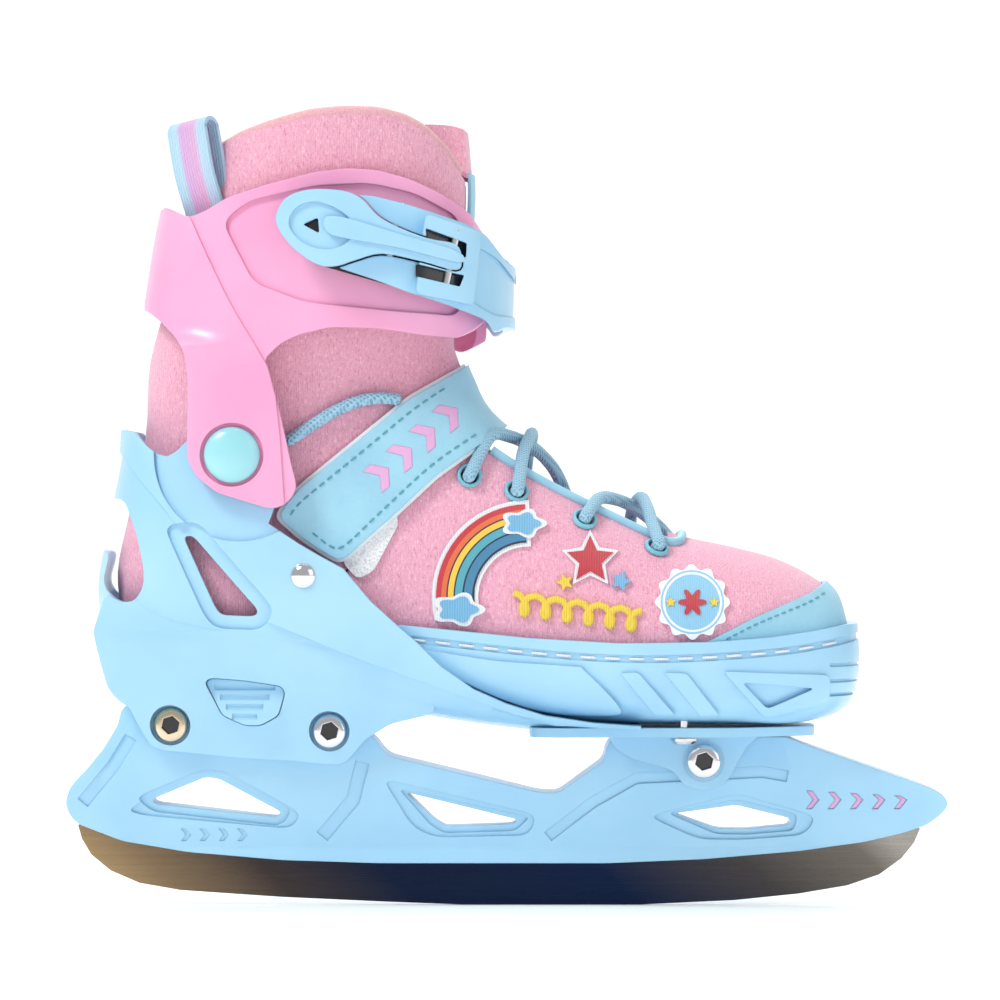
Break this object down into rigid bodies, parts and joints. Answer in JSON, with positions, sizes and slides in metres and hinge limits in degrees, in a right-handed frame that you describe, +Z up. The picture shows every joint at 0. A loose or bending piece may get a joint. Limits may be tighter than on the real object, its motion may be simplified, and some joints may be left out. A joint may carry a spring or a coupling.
{
  "type": "ice skate",
  "caption": "Adjustable soft-boot ice skate for the right foot: steel blade in a moulded holder, sliding toe, hinged cuff, buckle strap, instep strap and laces.",
  "frame": {"origin": "on the blade's flat running edge, under the middle of the foot and in the blade's middle plane", "axes": "+X to the toe, +Y to the inner side of the foot, +Z up the leg"},
  "size_m": [0.281, 0.106, 0.2556],
  "materials": {
    "blue_plastic": "moulded, light blue",
    "pink_plastic": "moulded, pink",
    "pink_textile": "padded melange knit",
    "blue_leather": "synthetic leather, fine grain",
    "blue_cord": "braided cord",
    "blade_steel": "ground along its length",
    "chrome": "bright plated",
    "mint_cap": "polished, mint blue",
    "white_pad": "looped pile",
    "ribbon": "woven ribbon",
    "dark_plastic": "black",
    "yellow_thread": "dense embroidery",
    "red_thread": "dense embroidery"
  },
  "bodies": {
    "shell": {"rear_shell": "blue_plastic", "blade_holder": "blue_plastic", "blade": "blade_steel", "frame_bolt_rear": "chrome", "frame_bolt_middle": "chrome", "frame_bolt_front": "chrome", "frame_nut_rear": "chrome", "frame_nut_middle": "chrome", "frame_nut_front": "chrome", "shell_rivet_lateral": "chrome", "shell_rivet_medial": "chrome", "pivot_bolt_lateral": "chrome", "pivot_bolt_medial": "chrome", "button_spring": "chrome", "boot_heel": "pink_textile", "ankle_piping_lateral": "blue_cord", "ankle_piping_medial": "blue_cord", "loop_pad": "white_pad", "instep_strap": "blue_leather"},
    "toe": {"toe_shell": "blue_plastic", "size_rail": "dark_plastic", "guide_screw": "chrome", "vamp": "pink_textile", "toe_cap": "blue_leather", "tongue_lower": "blue_leather", "insole": "white_pad", "lace": "blue_cord", "eyelet_lateral_1": "blue_cord", "eyelet_lateral_2": "blue_cord", "eyelet_lateral_3": "blue_cord", "eyelet_lateral_4": "blue_cord", "eyelet_medial_1": "blue_cord", "eyelet_medial_2": "blue_cord", "eyelet_medial_3": "blue_cord", "eyelet_medial_4": "blue_cord", "patch_rainbow": "red_thread", "patch_seal": "blue_leather", "patch_star": "red_thread", "patch_wave": "yellow_thread"},
    "cuff": {"cuff": "pink_plastic", "boot_collar": "pink_textile", "tongue_upper": "blue_leather", "pull_loop": "ribbon", "pivot_cap_lateral": "mint_cap", "pivot_cap_medial": "mint_cap", "buckle_base": "blue_plastic", "buckle_rivet": "chrome", "ladder_strap": "dark_plastic", "wrap_anchor": "blue_plastic", "wrap_rivet": "chrome"},
    "wrap": {"wrap_strap": "blue_plastic", "lever_pin": "chrome", "pawl_pin": "chrome"},
    "lever": {"buckle_lever": "blue_plastic"},
    "pawl": {"buckle_pawl": "chrome"},
    "button": {"size_button": "blue_plastic"},
    "flap": {"instep_flap": "blue_leather"}
  },
  "joints": [
    {"name": "size_slide", "type": "slide", "parent": "shell", "child": "toe", "axis": [1, 0, 0], "range_m": [0, 0.02]},
    {"name": "cuff_hinge", "type": "hinge", "parent": "shell", "child": "cuff", "pos_m": [-0.083, 0, 0.1434], "axis": [0, 1, 0], "range_deg": [-5, 10]},
    {"name": "wrap_hinge", "type": "hinge", "parent": "cuff", "child": "wrap", "pos_m": [-0.024, 0.04814, 0.203], "axis": [0.2669, 0, 0.9637], "range_deg": [0, 70]},
    {"name": "lever_hinge", "type": "hinge", "parent": "wrap", "child": "lever", "pos_m": [-0.0144, -0.04525, 0.2045], "axis": [0.2, 0, 0.9798], "range_deg": [0, 100]},
    {"name": "pawl_hinge", "type": "hinge", "parent": "wrap", "child": "pawl", "pos_m": [-0.0326, -0.04658, 0.2093], "axis": [0.2, 0, 0.9798], "range_deg": [-10, 0], "stiffness_Nm_per_rad": 0.01, "springref_deg": 8.59},
    {"name": "button_press", "type": "slide", "parent": "shell", "child": "button", "axis": [0, 1, 0], "range_m": [0, 0.003], "stiffness_N_per_m": 400, "springref_m": -0.002, "deforming": ["button_spring"]},
    {"name": "strap_flap", "type": "hinge", "parent": "shell", "child": "flap", "pos_m": [-0.00266, -0.0102, 0.1628], "axis": [-0.6209, 0, 0.7839], "range_deg": [0, 35]}
  ]
}
